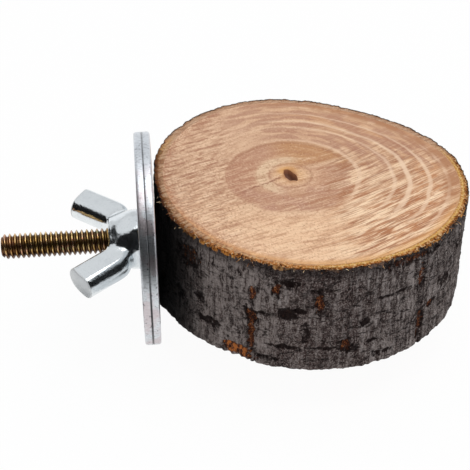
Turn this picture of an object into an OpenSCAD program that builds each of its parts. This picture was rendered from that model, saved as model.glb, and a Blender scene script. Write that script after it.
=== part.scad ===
// A platform perch for a bird cage, in millimetres: a sawn slice of a branch on a
// hanger bolt, held to the cage wires between two wide washers by a wing nut.
// The origin lies on the bolt's axis, in the plane where the washers clamp.
// +X points into the slice and +Z points up.

/* [Slice] */
// Mean diameter of the slice over its bark
slice_d = 77.2; // [60:0.1:110]
// Thickness of the slice, from sawn face to sawn face
slice_t = 29.9; // [24:0.1:40]
// How far the middle of the slice lies to the side of the bolt
slice_side = 2.1; // [-4:0.1:4]
// Thickness of the bark
bark_t = 2.4; // [1.5:0.1:4]
// Depth of the hollows in the bark's skin
bark_dent = 0.7; // [0.2:0.05:1]
// Width of the broken edge where the saw left the bark
bark_edge = 0.6; // [0.3:0.05:1]
// Length of the open pith in the top face
pith_l = 5.4; // [3:0.1:7]
// Width of the open pith
pith_w = 2.5; // [1:0.1:3]
// Bearing of the open pith's length
pith_turn = -70; // [-90:1:90]
// Depth of the open pith
pith_depth = 1.8; // [0.5:0.1:4]

/* [Hanger bolt] */
// Outside diameter of the machine thread
thread_d = 6.35; // [5:0.05:8]
// Pitch of the machine thread
thread_pitch = 1.27; // [0.8:0.01:1.5]
// Whole turns that the nut can be backed off to the stud's end
nut_turns = 21; // [10:1:28]
// How far the machine thread runs into the slice
thread_reach = 4; // [1:0.5:8]
// How much thinner the plain shank is than the machine thread
shank_step = 0.5; // [0.2:0.05:1]
// Length of the plain shank
shank_l = 3; // [2:0.5:6]
// How much thinner the wood screw is than the plain shank
screw_step = 0.5; // [0.2:0.05:1]
// Length of the wood screw with its point
screw_l = 18; // [14:0.5:30]
// Length of the wood screw's point
point_l = 6; // [4:0.5:9]
// Width of the chamfer on the stud's free end
stud_chamfer = 0.9; // [0.4:0.05:1.2]

/* [Washers] */
// Outside diameter of each washer
washer_d = 53.4; // [40:0.1:60]
// Thickness of each washer
washer_t = 2; // [1.2:0.1:3]
// How much wider than the stud each washer's hole is
washer_play = 0.75; // [0.3:0.05:2]
// Radius of the rounded rim on the face away from the wires
washer_round = 0.7; // [0.2:0.05:1]
// Radius of the sharper edge on the clamping face
washer_edge = 0.2; // [0.1:0.05:0.5]

/* [Wing nut] */
// Height of the threaded hub
hub_h = 7.5; // [5:0.1:10]
// Diameter of the hub where it bears on the washer
hub_d = 15.1; // [12:0.1:18]
// Diameter of the hub at its outer end
hub_end_d = 11.1; // [9:0.1:14]
// Height of the hub's straight foot
hub_foot_h = 2.4; // [1:0.1:4]
// Width of the hub's eased edges
hub_edge = 0.5; // [0.2:0.05:1]
// Width of the countersink at each end of the bore
countersink = 0.5; // [0.2:0.05:1]
// Width of a wing across its broad face
wing_w = 8.7; // [5:0.1:10]
// Thickness of a wing at its tip
wing_tip_t = 6.4; // [3:0.1:8]
// Thickness of a wing where it leaves the hub
wing_root_t = 6.9; // [4:0.1:9]
// Height of a wing's tip above the washer, at the middle of its end
wing_tip_h = 15; // [10:0.1:20]
// Distance of a wing's tip from the bolt's axis, at the middle of its end
wing_tip_r = 14.6; // [10:0.1:18]
// Angle between a wing and the bolt's axis
wing_lean = 35.6; // [20:0.1:50]
// Height above the washer where a wing leaves the hub
wing_root_h = 2.2; // [1.5:0.1:3]
// Turn of the nut about the bolt, as the wings were left
wing_turn = 8; // [-90:1:90]

/* [Hidden] */
$fn = 96;

// Clearances: bark to washer, bolt to wood, and stud to nut
seat_gap = 0.3;
bolt_gap = 0.05;
nut_gap = 0.06;
overrun = 1;

// Lobes of the slice's outline: count, depth as a share of the mean radius, bearing
lobe_shares = [[2, 0.042, -47], [3, 0.023, -2], [4, 0.006, 9]];
// Waves of the bark's skin: count round the slice, waves over its thickness, start, share
dent_shares = [[5, 0.6, 40, 0.3], [11, -0.9, 130, 0.3], [23, 0.5, 75, 0.25], [31, 1.8, 10, 0.15]];
// Heights of the rings that carry the bark's skin, as shares of the slice's thickness
skin_level_shares = [0.08, 0.2, 0.32, 0.44, 0.56, 0.68, 0.8, 0.92];
slice_sides = 96;

travel = thread_pitch * nut_turns;
stud_end_x = -washer_t - hub_h - travel;
machine_end_x = washer_t + seat_gap + thread_reach;
shank_d = thread_d - shank_step;
shank_end_x = machine_end_x + shank_l;
screw_d = shank_d - screw_step;
bolt_end_x = shank_end_x + screw_l;
slice_r = slice_d / 2;
rim_angles = [for (i = [0 : slice_sides - 1]) 360 * i / slice_sides];
slice_x = washer_t + seat_gap - min([for (a = rim_angles) rim_r(a) * cos(a)]);
// Place of the pith from the slice's middle, as shares of the mean radius
pith_shares = [-0.105, 0.007];
// Steps of the open pith: share of its length and width, share of its depth
pith_step_shares = [[1, 0.4], [0.7, 1]];
pith_sides = 24;
washer_steps = 6;
wing_sides = 32;
// Rounding of a wing's section: 2 is an ellipse and more is squarer
wing_square = 3.2;
// Stations along a wing: share of its length, share of its width, share of its thickness
wing_station_shares = [[0, 0.62, 0.9], [0.03, 0.76, 0.95], [0.08, 0.87, 0.98], [0.15, 0.95, 1],
    [0.25, 1, 1], [0.5, 1, 1], [0.75, 1, 1], [0.93, 1, 1],
    [0.965, 0.975, 0.95], [0.988, 0.91, 0.83], [1, 0.8, 0.64]];

function sum(v, i = 0) = i < len(v) ? v[i] + sum(v, i + 1) : 0;

// Radius over the bark at a bearing
function rim_r(a) = slice_r * (1 + sum([for (s = lobe_shares) s[1] * cos(s[0] * (a - s[2]))]));

// Outline of the open pith
pith_mouth = [for (i = [0 : pith_sides - 1])
    let (a = 360 * i / pith_sides) [pith_l * cos(a), pith_w * sin(a)] / 2];

// Depth of the bark's skin below that radius, from 0 to bark_dent
function dent(a, level) = bark_dent * sum([for (s = dent_shares)
    s[3] * (1 + sin(s[0] * a + s[2] + 360 * s[1] * level)) / 2]);

// Moves a shape to the slice's middle
module at_slice() {
    translate([slice_x, slice_side, 0]) children();
}

// Turns a profile of [radius, place along X] about the bolt's axis
module about_x() {
    rotate([0, 90, 0]) rotate_extrude() children();
}

// The bolt's outline, or the hole that it leaves when gap is over 0
module bolt_outline(gap) {
    r = thread_d / 2 + gap;
    end_x = stud_end_x - (gap > 0 ? overrun : 0);
    about_x() polygon([
        [0, end_x],
        [r - stud_chamfer, end_x],
        [r, end_x + stud_chamfer],
        [r, machine_end_x + gap],
        [shank_d / 2 + gap, machine_end_x + shank_step + gap],
        [shank_d / 2 + gap, shank_end_x + gap],
        [screw_d / 2 + gap, shank_end_x + screw_step + gap],
        [screw_d / 2 + gap, bolt_end_x - point_l],
        [0, bolt_end_x + gap]
    ]);
}

// Sapwood and heartwood inside the bark, drilled for the bolt, with its open pith
module wood_slice() {
    outline = [for (a = rim_angles) (rim_r(a) - bark_t) * [cos(a), sin(a)]];
    color("burlywood") difference() {
        at_slice() translate([0, 0, -slice_t / 2]) linear_extrude(slice_t) polygon(outline);
        bolt_outline(bolt_gap);
        at_slice() translate([slice_r * pith_shares[0], slice_r * pith_shares[1], slice_t / 2])
            rotate([0, 0, pith_turn]) for (s = pith_step_shares)
                translate([0, 0, -pith_depth * s[1]]) linear_extrude(pith_depth + overrun)
                    polygon(s[0] * pith_mouth);
    }
}

// One loop of points from the bark's lower inner edge, over its skin, to its upper one
function bark_loop(a) =
    let (out = rim_r(a), half = slice_t / 2, reach = [cos(a), sin(a)])
    concat(
        [[(out - bark_t) * reach, -half]],
        [[(out - bark_edge - dent(a, 0)) * reach, -half]],
        [for (s = skin_level_shares) [(out - dent(a, s)) * reach, (s - 1 / 2) * slice_t]],
        [[(out - bark_edge - dent(a, 1)) * reach, half]],
        [[(out - bark_t) * reach, half]]
    );

// Faces between neighbouring loops of a closed ring of loops
function ring_faces(loops, size) = [for (i = [0 : loops - 1], j = [0 : size - 1], k = [0, 1])
    let (ni = (i + 1) % loops, nj = (j + 1) % size)
    k == 0 ? [i * size + j, i * size + nj, ni * size + j]
           : [ni * size + j, i * size + nj, ni * size + nj]];

// The bark, a ring that the wood fills
module bark() {
    loops = [for (a = rim_angles) bark_loop(a)];
    points = [for (loop = loops, p = loop) [p[0][0], p[0][1], p[1]]];
    color("dimgray") difference() {
        at_slice() polyhedron(points, ring_faces(slice_sides, len(loops[0])));
        bolt_outline(bolt_gap);
    }
}

// Stud and wood screw in one, its threads left plain at their outside diameter
module hanger_bolt() {
    color("goldenrod") bolt_outline(0);
}

// Points of a rounded corner between two bearings
function corner(x, y, r, from, to) = [for (i = [0 : washer_steps])
    let (a = from + (to - from) * i / washer_steps)
    [x + r * cos(a), y + r * sin(a)]];

// A wide washer whose clamping face lies at 0 and whose rounded face lies at its thickness
module washer() {
    r = washer_d / 2;
    hole = (thread_d + washer_play) / 2;
    about_x() polygon(concat(
        [[hole, washer_edge], [hole + washer_edge, 0]],
        corner(r - washer_edge, washer_edge, washer_edge, -90, 0),
        corner(r - washer_round, washer_t - washer_round, washer_round, 0, 90),
        [[hole + washer_edge, washer_t], [hole, washer_t - washer_edge]]
    ));
}

// The washer that bears on the slice
module inner_washer() {
    color("lightgray") washer();
}

// The washer that the nut bears on
module outer_washer() {
    color("silver") mirror([1, 0, 0]) washer();
}

// A rounded oblong section, from -1/2 to 1/2 each way, at a bearing
function section(a) = [
    sign(cos(a)) * pow(abs(cos(a)), 2 / wing_square) / 2,
    sign(sin(a)) * pow(abs(sin(a)), 2 / wing_square) / 2
];

// Faces that close a stack of rings
function stack_faces(rings, size) = concat(
    [[for (j = [0 : size - 1]) j]],
    [for (i = [0 : rings - 2], j = [0 : size - 1], k = [0, 1])
        let (nj = (j + 1) % size, low = i * size, high = low + size)
        k == 0 ? [low + j, high + j, low + nj] : [low + nj, high + j, high + nj]],
    [[for (j = [size - 1 : -1 : 0]) (rings - 1) * size + j]]
);

// One wing, which leans out from the hub; height runs along +Z and its broad faces face +-Y
module wing() {
    lean = [sin(wing_lean), cos(wing_lean)];
    root_r = wing_tip_r - (wing_tip_h - wing_root_h) * tan(wing_lean);
    root = [root_r, wing_root_h];
    tip = [wing_tip_r, wing_tip_h];
    // The root is cut square to the bolt and the tip square to the wing
    root_across = [wing_w / cos(wing_lean), 0];
    tip_across = wing_w * [lean[1], -lean[0]];
    points = [for (s = wing_station_shares, j = [0 : wing_sides - 1])
        let (
            o = section(360 * j / wing_sides),
            turn = min(1, 2 * s[0]),
            p = root + (tip - root) * s[0]
                + (root_across + (tip_across - root_across) * turn) * s[1] * o[0],
            t = wing_root_t + (wing_tip_t - wing_root_t) * s[0]
        )
        [p[0], t * s[2] * o[1], p[1]]];
    polyhedron(points, stack_faces(len(wing_station_shares), wing_sides));
}

// Forged hub with two wings, bored at the stud's diameter
module wing_nut() {
    r = thread_d / 2 + nut_gap;
    foot = hub_d / 2;
    end = hub_end_d / 2;
    color("gainsboro") translate([-washer_t, 0, 0]) rotate([wing_turn, 0, 0]) rotate([0, -90, 0])
        difference() {
            union() {
                rotate_extrude() polygon([
                    [0, 0], [foot - hub_edge, 0], [foot, hub_edge], [foot, hub_foot_h],
                    [end, hub_h - hub_edge], [end - hub_edge, hub_h], [0, hub_h]
                ]);
                for (side = [90, 270]) rotate([0, 0, side]) wing();
            }
            translate([0, 0, -overrun]) cylinder(h = hub_h + 2 * overrun, r = r);
            rotate_extrude() polygon([
                [0, -overrun], [r + countersink + overrun, -overrun], [r, countersink], [0, countersink]
            ]);
            translate([0, 0, hub_h]) mirror([0, 0, 1]) rotate_extrude() polygon([
                [0, -overrun], [r + countersink + overrun, -overrun], [r, countersink], [0, countersink]
            ]);
        }
}

wood_slice();
bark();
hanger_bolt();
inner_washer();
outer_washer();
wing_nut();
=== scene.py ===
# Looks of a cage perch: a slice of log with its bark, on a hanger bolt, between two
# wide washers and a wing nut. Sizes are in millimetres until a piece is made.
from inspect import signature
from math import atan2, ceil, cos, degrees, exp, hypot, pi, radians, sin

import bmesh
import bpy
from mathutils import Matrix, Vector, noise


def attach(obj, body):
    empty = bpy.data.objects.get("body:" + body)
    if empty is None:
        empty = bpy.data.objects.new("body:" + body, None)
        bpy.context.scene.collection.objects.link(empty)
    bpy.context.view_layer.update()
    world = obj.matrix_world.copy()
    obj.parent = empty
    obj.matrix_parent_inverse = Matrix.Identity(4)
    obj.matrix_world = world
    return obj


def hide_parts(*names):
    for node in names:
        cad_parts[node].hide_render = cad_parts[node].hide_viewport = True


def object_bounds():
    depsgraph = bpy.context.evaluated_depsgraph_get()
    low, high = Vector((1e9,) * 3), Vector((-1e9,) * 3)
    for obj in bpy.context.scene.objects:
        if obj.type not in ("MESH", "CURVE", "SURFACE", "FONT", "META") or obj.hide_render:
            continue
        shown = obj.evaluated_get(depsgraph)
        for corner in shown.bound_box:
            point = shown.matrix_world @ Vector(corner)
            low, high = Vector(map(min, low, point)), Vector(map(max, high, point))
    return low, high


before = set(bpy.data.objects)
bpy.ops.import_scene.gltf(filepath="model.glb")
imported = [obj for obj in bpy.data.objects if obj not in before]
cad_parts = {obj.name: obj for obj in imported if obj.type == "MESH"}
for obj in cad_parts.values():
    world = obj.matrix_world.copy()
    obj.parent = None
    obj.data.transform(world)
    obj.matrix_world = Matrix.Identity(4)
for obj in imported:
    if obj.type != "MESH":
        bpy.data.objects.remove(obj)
cad_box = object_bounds()

MM = 0.001

# Slice and bark
SLICE_D, SLICE_T, SLICE_SIDE = 77.2, 29.9, 2.1
# Waves of the rim: how many round it, share of the radius, bearing of a crest
LOBES = [(2, 0.042, -47), (3, 0.023, -2), (4, 0.006, 9)]
BARK_T = 2.4
SEAT_GAP = 0.3
PITH_AT = (-0.105, 0.007)
PITH_W, PITH_L, PITH_TURN, PITH_DEPTH = 2.5, 5.4, -70, 1.8
HEART_R, RING_REACH = 16.0, 36.0
# Bearings, rings and levels of the meshes
OUTLINE_TURNS, BARK_TURNS, SKIN_LEVELS, RIM_STEPS = 96, 720, 72, 11
WOOD_TURNS, WOOD_RINGS = 480, 44
HIDDEN_SCARS = 34
SAW_BEARING, WAVE_L = 20.0, 1.9
# Climb of the saw's strokes to the right, the bend over which it grows, its growth, and
# its growth to the left
STROKE_RISE, STROKE_BEND, STROKE_GAIN, STROKE_LEFT_GAIN = 0.27, 18.0, 0.32, 0.16
# Pale rings of the wood: radius, half width and strength
PALE_RINGS = [(16.9, 0.7, 0.42), (23.5, 0.6, 0.55), (26.5, 0.8, 0.75), (30.4, 0.6, 0.65),
              (34.0, 0.5, 0.5)]
# Torn fibres of the upper rim: count, first bearing, sweep and length
FIBRE_TUFTS = [(60, -174, 62, 1.4), (26, -112, 50, 0.9), (46, -54, 44, 1.1)]

# Hanger bolt
THREAD_D, THREAD_PITCH = 6.35, 1.27
THREAD_DEPTH_SHARE = 0.61
NUT_TURNS, THREAD_REACH = 21, 4
SHANK_D, SHANK_L = 5.85, 3
SCREW_D, SCREW_L, POINT_L = 5.35, 18, 6
SCREW_PITCH, SCREW_DEPTH = 2.4, 0.75
STUD_CHAMFER = 0.9

# Washers; the gap keeps their faces from lying in one plane
WASHER_D, WASHER_T, WASHER_HOLE_D = 53.4, 2.0, 7.1
WASHER_ROUND, WASHER_EDGE, FACE_GAP = 0.7, 0.2, 0.01

# Wing nut, and the sizes of its rule
HUB_H, WING_TIP_H, WING_TIP_R, WING_LEAN, WING_TURN, NUT_GAP = 7.5, 15.0, 14.6, 35.6, 8, 0.06
NUT_SIZES = {
    "hub_h": HUB_H, "foot_r": 7.55, "end_r": 5.55, "foot_h": 2.4, "hub_blend": 0.8,
    "wing_w": 8.7, "tip_t": 6.4, "root_t": 6.9, "tip_h": WING_TIP_H, "tip_r": WING_TIP_R,
    "dome": 0.45, "lean": radians(WING_LEAN), "root_h": 2.2, "root_blend": 4.0, "edge": 0.5,
    "roundness": 1.12, "fillet": 2.4, "bore_r": THREAD_D / 2 + NUT_GAP, "countersink": 0.5,
    "voxel": 0.2}

# Points closer than the first are merged, and edges shorter than the second are dropped
MERGE_GAP, SLIVER = 0.002, 0.001

# Brightness of the room in front and low down, and behind and overhead
WORLD_LOW, WORLD_HIGH = 0.56, 0.80
FLOOR_Z, FLOOR_SIZE = -27.5, 4000

HALF_T = SLICE_T / 2
STUD_END_X = -WASHER_T - HUB_H - THREAD_PITCH * NUT_TURNS
MACHINE_END_X = WASHER_T + SEAT_GAP + THREAD_REACH
SHANK_END_X = MACHINE_END_X + SHANK_L


# Node trees written as sums

def by_node(how):
    """An operator that works through one Math node."""
    return lambda first, *others: first.graph.sum(how, first, *others)


class Amount:
    """A number that varies over a surface or through space, used in ordinary sums."""

    def __init__(self, graph, socket):
        self.graph, self.socket = graph, socket

    __add__ = __radd__ = by_node("ADD")
    __mul__ = __rmul__ = by_node("MULTIPLY")
    __sub__, __truediv__, __abs__ = by_node("SUBTRACT"), by_node("DIVIDE"), by_node("ABSOLUTE")
    least, most, part = by_node("MINIMUM"), by_node("MAXIMUM"), by_node("FRACT")
    sine, cosine, root = by_node("SINE"), by_node("COSINE"), by_node("SQRT")
    soft_least, soft_most = by_node("SMOOTH_MIN"), by_node("SMOOTH_MAX")

    def __rsub__(self, other):
        return self.graph.sum("SUBTRACT", other, self)

    def __neg__(self):
        return 0 - self

    def rise(self, low, high):
        """0 below low, 1 above high, and a smooth step between."""
        return self.graph.amount(
            "ShaderNodeMapRange", {"Value": self, "From Min": low, "From Max": high},
            interpolation_type="SMOOTHSTEP", clamp=True)


class Graph:
    """A node tree that is filled by sums and by one method for every other node."""

    def __init__(self, tree):
        self.tree = tree

    def node(self, kind, values=None, **settings):
        """A node with its settings, then values or links; a node stands for its first output."""
        made = self.tree.nodes.new(kind)
        for name, value in settings.items():
            if name == "stops":
                self.set_stops(made.color_ramp, value)
            else:
                setattr(made, name, value)
        for key, value in (values or {}).items():
            value = getattr(value, "socket", value)
            if isinstance(value, bpy.types.Node):
                value = value.outputs[0]
            if isinstance(value, bpy.types.NodeSocket):
                self.tree.links.new(value, made.inputs[key])
            else:
                made.inputs[key].default_value = value
        return made

    @staticmethod
    def set_stops(ramp, stops):
        while len(ramp.elements) > 1:
            ramp.elements.remove(ramp.elements[-1])
        ramp.elements[0].position = stops[0][0]
        ramp.elements[0].color = tint(*stops[0][1:])
        for place, *colour in stops[1:]:
            ramp.elements.new(place).color = tint(*colour)

    def amount(self, kind, values=None, output=0, **settings):
        return Amount(self, self.node(kind, values, **settings).outputs[output])

    def sum(self, how, *terms):
        return self.amount("ShaderNodeMath", dict(enumerate(terms)), operation=how)

    def point(self, x, y, z):
        return self.node("ShaderNodeCombineXYZ", {0: x, 1: y, 2: z}).outputs[0]

    def parts(self, place):
        apart = self.node("ShaderNodeSeparateXYZ", {0: place})
        return [Amount(self, socket) for socket in apart.outputs]


def tint(red, green, blue):
    """A colour written as it looks on screen, from 0 to 255, as a linear one."""
    linear = [(c / 255 / 12.92) if c <= 10 else ((c / 255 + 0.055) / 1.055) ** 2.4
              for c in (red, green, blue)]
    return (*linear, 1.0)


class Finish(Graph):
    """A surface finish: one principled shader and what varies over the piece."""

    def __init__(self, name, colour, roughness, metallic=0.0, specular=0.5):
        self.material = bpy.data.materials.new(name)
        self.material.use_nodes = True
        super().__init__(self.material.node_tree)
        self.shader = self.tree.nodes["Principled BSDF"]
        for socket, value in (("Base Color", tint(*colour)), ("Roughness", roughness),
                              ("Metallic", metallic), ("Specular IOR Level", specular)):
            self.shader.inputs[socket].default_value = value
        place = self.node("ShaderNodeTexCoord").outputs["Object"]
        self.x, self.y, self.z = (part / MM for part in self.parts(place))

    def cloud(self, x, y, z, detail=3.0, rough=0.55, warp=0.0):
        """Soft noise around 0.5, at a place given in units of its own grain."""
        return self.amount("ShaderNodeTexNoise", {
            "Vector": self.point(x, y, z), "Scale": 1.0, "Detail": detail, "Roughness": rough,
            "Distortion": warp})

    def specks(self, wide, deep, tall, *kind):
        """Soft noise whose grain is given in millimetres along X, Y and Z."""
        return self.cloud(self.x / wide, self.y / deep, self.z / tall, *kind)

    def cells(self, feature, x, y, z):
        """Distances in a pattern of cells, at a place given in units of a cell."""
        return self.amount("ShaderNodeTexVoronoi", {"Vector": self.point(x, y, z), "Scale": 1.0},
                           "Distance", feature=feature)

    def read(self, name):
        return self.amount("ShaderNodeAttribute", None, "Fac", attribute_name=name)

    def ramp(self, amount, stops):
        return self.node("ShaderNodeValToRGB", {0: amount}, stops=stops).outputs[0]

    def mix(self, share, under, over, how="MIX"):
        under, over = (tint(*c) if isinstance(c, tuple) else c for c in (under, over))
        made = self.node("ShaderNodeMix", {0: share, 6: under, 7: over}, data_type="RGBA",
                         blend_type=how)
        return made.outputs[2]

    def feed(self, socket, value):
        self.tree.links.new(getattr(value, "socket", value), self.shader.inputs[socket])

    def vary(self, colour, roughness, relief=None, depth=0.0):
        """Feeds the shader; relief is a share of the depth, which is in millimetres."""
        self.feed("Base Color", colour)
        self.feed("Roughness", roughness)
        if depth:
            raised = self.node("ShaderNodeBump", {
                "Height": relief, "Distance": depth * MM, "Strength": 1.0})
            self.feed("Normal", raised.outputs[0])
        return self


class Paint:
    """A colour over a surface, laid on in coats."""

    def __init__(self, finish, first):
        self.finish, self.socket = finish, first

    def coat(self, share, over):
        self.socket = self.finish.mix(share, self.socket, over)

    def grain(self, pattern, *coats):
        """Each coat grows from nothing to its share while the pattern goes from start to end."""
        for start, end, share, over in coats:
            self.coat(pattern.rise(start, end) * share, over)


# Meshes

def in_scene(name, data):
    made = bpy.data.objects.new(name, data)
    bpy.context.scene.collection.objects.link(made)
    return made


def mesh_object(name, points, faces, finish, marks=None):
    """A mesh piece from points in millimetres; marks are named numbers, one per point."""
    mesh = bpy.data.meshes.new(name)
    mesh.from_pydata([tuple(c * MM for c in p) for p in points], [], faces)
    for mark, values in (marks or {}).items():
        layer = mesh.attributes.new(mark, "FLOAT", "POINT")
        layer.data.foreach_set("value", values)
    mesh.materials.append(finish.material)
    mesh.shade_smooth()
    return in_scene(name, mesh)


def ring_faces(loops, size, close_sides=True):
    """Quads between neighbouring loops of points, round to the first loop again."""
    faces = []
    for i in range(loops):
        for j in range(size if close_sides else size - 1):
            ni, nj = (i + 1) % loops, (j + 1) % size
            faces.append((i * size + j, i * size + nj, ni * size + nj, ni * size + j))
    return faces


def turned(name, row_at, turns, marks, finish, close_sides=True):
    """Rows of points at even bearings; row_at gives each point of a row with its marks."""
    rows = [row for turn in range(turns) for row in row_at(360 * turn / turns)]
    points, *values = zip(*rows)
    faces = ring_faces(turns, len(points) // turns, close_sides)
    return mesh_object(name, points, faces, finish, dict(zip(marks, values)))


def lathe(name, profile, segments, finish):
    """A closed profile of (radius, place along X) turned about the bolt's axis."""
    points = [(x, r * cos(a), r * sin(a))
              for a in (2 * pi * i / segments for i in range(segments))
              for r, x in profile]
    return tidy(mesh_object(name, points, ring_faces(segments, len(profile)), finish))


def tidy(made, angle=30):
    """Merges doubles, turns the faces outwards and keeps edges crisp past an angle."""
    work = bmesh.new()
    work.from_mesh(made.data)
    bmesh.ops.remove_doubles(work, verts=work.verts, dist=MERGE_GAP * MM)
    bmesh.ops.dissolve_degenerate(work, edges=work.edges, dist=SLIVER * MM)
    bmesh.ops.recalc_face_normals(work, faces=work.faces)
    for edge in work.edges:
        edge.smooth = len(edge.link_faces) == 2 and edge.calc_face_angle(0) < radians(angle)
    work.to_mesh(made.data)
    work.free()
    return made


def joined(name, parts, finish):
    """Several mesh objects as one smooth piece of one finish."""
    work = bmesh.new()
    for part in parts:
        work.from_mesh(part.data)
        bpy.data.objects.remove(part)
    for face in work.faces:
        face.material_index = 0
    mesh = bpy.data.meshes.new(name)
    work.to_mesh(mesh)
    work.free()
    mesh.materials.append(finish.material)
    mesh.shade_smooth()
    return in_scene(name, mesh)


def arc(x, r, size, start, end, steps):
    """Points of a rounded corner as (radius, place along X)."""
    return [(r + size * sin(a), x + size * cos(a))
            for a in (radians(start + (end - start) * i / steps) for i in range(steps + 1))]


# Pieces made by Geometry Nodes

class Rule(Graph):
    """A geometry tree with the named inputs of the function that builds it."""

    def __init__(self, build, finish):
        super().__init__(bpy.data.node_groups.new(build.__name__, "GeometryNodeTree"))
        sizes = list(signature(build).parameters)[1:]
        for size in sizes:
            self.tree.interface.new_socket(name=size, in_out="INPUT", socket_type="NodeSocketFloat")
        self.tree.interface.new_socket(
            name="Geometry", in_out="OUTPUT", socket_type="NodeSocketGeometry")
        given = self.node("NodeGroupInput")
        self.x, self.y, self.z = self.parts(self.node("GeometryNodeInputPosition"))
        made = build(self, *(Amount(self, given.outputs[size]) for size in sizes))
        real = self.node("GeometryNodeRealizeInstances", {0: made})
        coated = self.node("GeometryNodeSetMaterial", {"Geometry": real, "Material": finish.material})
        self.node("NodeGroupOutput", {0: coated})

    def moved(self, made, x, y, z):
        """The points of a made shape, put at a place in metres."""
        values = {"Geometry": made, "Position": self.point(x, y, z)}
        return self.node("GeometryNodeSetPosition", values)

    def make(self, name, **sizes):
        """The plain mesh that the tree makes with these sizes."""
        holder = in_scene(name, bpy.data.meshes.new(name))
        modifier = holder.modifiers.new("rule", "NODES")
        modifier.node_group = self.tree
        for item in self.tree.interface.items_tree:
            if item.in_out == "INPUT":
                modifier[item.identifier] = float(sizes[item.name])
        graph = bpy.context.evaluated_depsgraph_get()
        mesh = bpy.data.meshes.new_from_object(holder.evaluated_get(graph))
        bpy.data.objects.remove(holder)
        return in_scene(name, mesh)


def screw_thread(rule, rows, start, length, pitch, crest_r, depth, crest_flat, root_flat,
                 first_r, first_l, last_r, last_l, steps, sides):
    """A screw thread about the X axis: a strip of rows that climb one pitch a turn."""
    grid = rule.node("GeometryNodeMeshGrid", {
        "Size X": rows, "Size Y": 1.0, "Vertices X": rows * steps + 1, "Vertices Y": sides + 1})
    turn = rule.y + 0.5
    row = rule.x + rows / 2
    along = (row + turn - 2) * pitch
    left = length - along
    phase = abs(row.part() * 2 - 1)
    fall = ((phase - crest_flat) / (1 - root_flat - crest_flat)).most(0).least(1)
    radius = crest_r - depth * fall
    # Both ends are turned down to a cone and closed by rows that run in to the axis
    for way, end_r, end_l in ((along, first_r, first_l), (left, last_r, last_l)):
        radius = radius.least(end_r + way.most(0) / end_l * (crest_r - end_r))
    for way in (along, left):
        radius = radius * (1 + way / pitch).most(0).least(1)
    angle = turn * (2 * pi)
    return rule.moved(grid, (start + along.most(0).least(length)) * MM,
                      radius * angle.cosine() * MM, radius * angle.sine() * MM)


def forged_wing_nut(rule, hub_h, foot_r, end_r, foot_h, hub_blend, wing_w, tip_t, root_t, tip_h,
                    tip_r, dome, lean, root_h, root_blend, edge, roundness, fillet, bore_r,
                    countersink, voxel):
    """A forged wing nut as a blend of solids: hub along Z, wings along X, in millimetres."""
    side, thick, up = abs(rule.x), abs(rule.y), rule.z

    def root_of(a, b):
        return (a * a + b * b).root()

    out = root_of(rule.x, rule.y)
    fall = (foot_r - end_r) / (hub_h - foot_h)
    cone = (out - foot_r + (up - foot_h) * fall) / (fall * fall + 1).root()
    hub = (out - foot_r).soft_most(cone, hub_blend)
    hub = hub.soft_most(up - hub_h, edge).soft_most(-up, edge / 2)

    sine, cosine = lean.sine(), lean.cosine()
    from_tip_r, from_tip_h = side - tip_r, up - tip_h
    along = from_tip_r * sine + from_tip_h * cosine
    across = abs(from_tip_r * cosine - from_tip_h * sine)
    length = (tip_h - root_h) / cosine
    spread = (-along / length).most(0).least(1)
    half_t = (tip_t + (root_t - tip_t) * spread) / 2
    round_r = half_t * roundness
    bulge = root_of((across - wing_w / 2 + round_r).most(0), thick) - round_r
    section = (thick - half_t).soft_most(bulge, edge / 2)
    outward = root_of(across / wing_w, thick / tip_t) * 2
    domed = along + dome * (outward * outward - 0.5)
    wing = section.soft_most(domed, edge).soft_most(root_h - up, root_blend)
    nut = hub.soft_least(wing, fillet)

    sink = ((up - hub_h).most(-up) + countersink).most(0).least(countersink)
    nut = nut.most(bore_r + sink - out)

    span, deep = tip_r + wing_w, foot_r + 1
    block = rule.node("GeometryNodeVolumeCube", {
        "Density": 0.5 - nut, "Background": -1.0, "Min": rule.point(-span, -deep, -1.0),
        "Max": rule.point(span, deep, tip_h + 4), "Resolution X": span * 2 / voxel,
        "Resolution Y": deep * 2 / voxel, "Resolution Z": (tip_h + 5) / voxel})
    return rule.node("GeometryNodeVolumeToMesh", {
        "Volume": block, "Threshold": 0.5, "Adaptivity": 0.0}, resolution_mode="GRID")


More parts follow.
